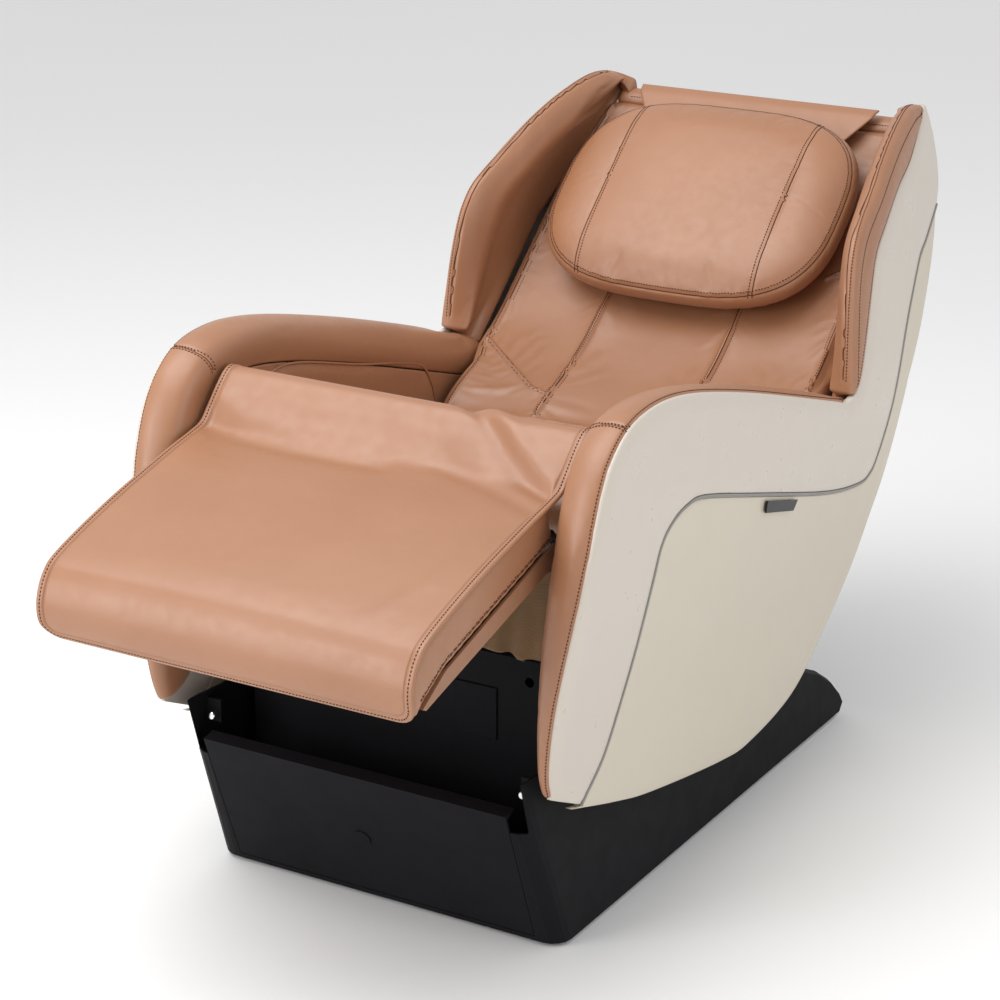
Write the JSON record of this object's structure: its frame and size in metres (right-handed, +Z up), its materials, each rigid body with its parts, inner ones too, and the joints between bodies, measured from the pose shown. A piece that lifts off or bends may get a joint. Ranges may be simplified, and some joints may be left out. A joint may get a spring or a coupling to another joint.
{
  "type": "massage chair",
  "caption": "Compact reclining massage chair with a tilting shell on a low base, a lifting legrest, a flip-over head pillow and a roller carriage inside the back.",
  "frame": {"origin": "centre of the bounding box in plan, on the floor under the feet", "axes": "+Z up, the sitter faces -Y, +X to the right of someone who faces the chair"},
  "size_m": [0.706, 1.5067, 0.9321],
  "materials": {
    "tan_leather": "smooth, satin",
    "tan_leather_underside": "smooth, satin",
    "brown_fabric": "woven, matte",
    "cream_plastic": "gloss",
    "beige_plastic": "satin",
    "grey_trim": "satin",
    "black_plastic": "fine grain, satin",
    "black_gloss_plastic": "gloss",
    "grey_plastic": "satin",
    "black_rubber": "matte",
    "painted_steel": "powder coat",
    "zinc_casting": "cast",
    "chrome": "polished"
  },
  "bodies": {
    "base": {"base_shell": "black_plastic", "base_front_panel": "black_plastic", "base_inner_cover": "black_plastic", "base_rear_cap": "black_plastic", "service_plate": "black_plastic", "base_frame": "painted_steel", "control_box": "grey_plastic", "air_pump": "grey_plastic", "pivot_shaft": "chrome", "power_inlet": "black_plastic", "wheel_axle": "chrome", "notch_bolt_left": "chrome", "notch_bolt_right": "chrome", "foot_front_left": "black_rubber", "foot_front_right": "black_rubber", "foot_rear_left": "black_rubber", "foot_rear_right": "black_rubber"},
    "power_switch": {"power_switch": "black_gloss_plastic"},
    "wheel_left": {"wheel_left": "black_rubber"},
    "wheel_right": {"wheel_right": "black_rubber"},
    "recline_actuator": {"recline_actuator_body": "zinc_casting"},
    "recline_rod": {"recline_actuator_rod": "chrome"},
    "legrest_actuator": {"legrest_actuator_body": "zinc_casting"},
    "legrest_rod": {"legrest_actuator_rod": "chrome"},
    "legrest": {"legrest_pad": "tan_leather", "legrest_tray": "tan_leather_underside", "legrest_frame": "painted_steel", "legrest_flap": "tan_leather"},
    "pillow": {"head_pillow": "tan_leather", "pillow_strap": "tan_leather"},
    "carriage": {"carriage_frame": "painted_steel", "carriage_motor": "zinc_casting"},
    "kneading": {"knead_shaft": "chrome", "knead_head_left": "black_rubber", "knead_head_right": "black_rubber"},
    "shell": {"arm_lining_left": "tan_leather", "arm_lining_right": "tan_leather", "arm_pad_left": "tan_leather", "arm_pad_right": "tan_leather", "back_pad": "tan_leather", "back_shell": "black_plastic", "back_top_cover": "tan_leather", "badge_left": "black_gloss_plastic", "badge_right": "black_gloss_plastic", "legrest_hinge_pin": "chrome", "seat_cushion": "tan_leather", "seat_gusset_left": "brown_fabric", "seat_gusset_right": "brown_fabric", "seat_pan": "painted_steel", "shell_frame": "painted_steel", "side_panel_lower_left": "beige_plastic", "side_panel_lower_right": "beige_plastic", "side_panel_upper_left": "cream_plastic", "side_panel_upper_right": "cream_plastic", "side_trim_left": "grey_trim", "side_trim_right": "grey_trim", "track_rail_left": "painted_steel", "track_rail_right": "painted_steel", "wing_pad_left": "tan_leather", "wing_pad_right": "tan_leather"}
  },
  "joints": [
    {"name": "recline", "type": "hinge", "parent": "base", "child": "shell", "pos_m": [0, -0.0436, 0.3], "axis": [1, 0, 0], "range_deg": [-4, 18]},
    {"name": "legrest_lift", "type": "hinge", "parent": "shell", "child": "legrest", "pos_m": [0, -0.3836, 0.565], "axis": [1, 0, 0], "range_deg": [-8.65, 38.75]},
    {"name": "recline_actuator_swing", "type": "hinge", "parent": "base", "child": "recline_actuator", "pos_m": [0.075, 0.1264, 0.06], "axis": [1, 0, 0], "range_deg": [-2.13, 9.43]},
    {"name": "recline_actuator_stroke", "type": "slide", "parent": "recline_actuator", "child": "recline_rod", "axis": [0, 0.4338, 0.901], "range_m": [-0.0178, 0.0784]},
    {"name": "legrest_actuator_swing", "type": "hinge", "parent": "shell", "child": "legrest_actuator", "pos_m": [-0.075, -0.0736, 0.4], "axis": [1, 0, 0], "range_deg": [-0.33, 1.31]},
    {"name": "legrest_actuator_stroke", "type": "slide", "parent": "legrest_actuator", "child": "legrest_rod", "axis": [0, -0.969, 0.2469], "range_m": [-0.0602, 0.0138]},
    {"name": "pillow_flip", "type": "hinge", "parent": "shell", "child": "pillow", "pos_m": [0, 0.68278, 0.91121], "axis": [1, 0, 0], "range_deg": [-110, 0]},
    {"name": "carriage_travel", "type": "slide", "parent": "shell", "child": "carriage", "axis": [0, 0.7431, 0.6691], "range_m": [-0.12, 0.13]},
    {"name": "knead_spin", "type": "hinge", "parent": "carriage", "child": "kneading", "pos_m": [0, 0.49881, 0.58947], "axis": [1, 0, 0], "continuous": true},
    {"name": "power_rocker", "type": "hinge", "parent": "base", "child": "power_switch", "pos_m": [-0.0698, 0.4684, 0.042], "axis": [1, 0, 0], "range_deg": [0, 12]},
    {"name": "wheel_spin_left", "type": "hinge", "parent": "base", "child": "wheel_left", "pos_m": [-0.224, 0.4264, 0.034], "axis": [1, 0, 0], "continuous": true},
    {"name": "wheel_spin_right", "type": "hinge", "parent": "base", "child": "wheel_right", "pos_m": [0.224, 0.4264, 0.034], "axis": [1, 0, 0], "continuous": true}
  ],
  "couplings": [
    {"joint": "legrest_lift", "follows": "recline", "ratio": 2.15},
    {"joint": "recline_actuator_swing", "follows": "recline", "ratio": 0.521},
    {"joint": "recline_actuator_stroke", "follows": "recline", "m_per_rad": 0.248},
    {"joint": "legrest_actuator_swing", "follows": "recline", "ratio": 0.07},
    {"joint": "legrest_actuator_stroke", "follows": "recline", "m_per_rad": -0.19}
  ]
}
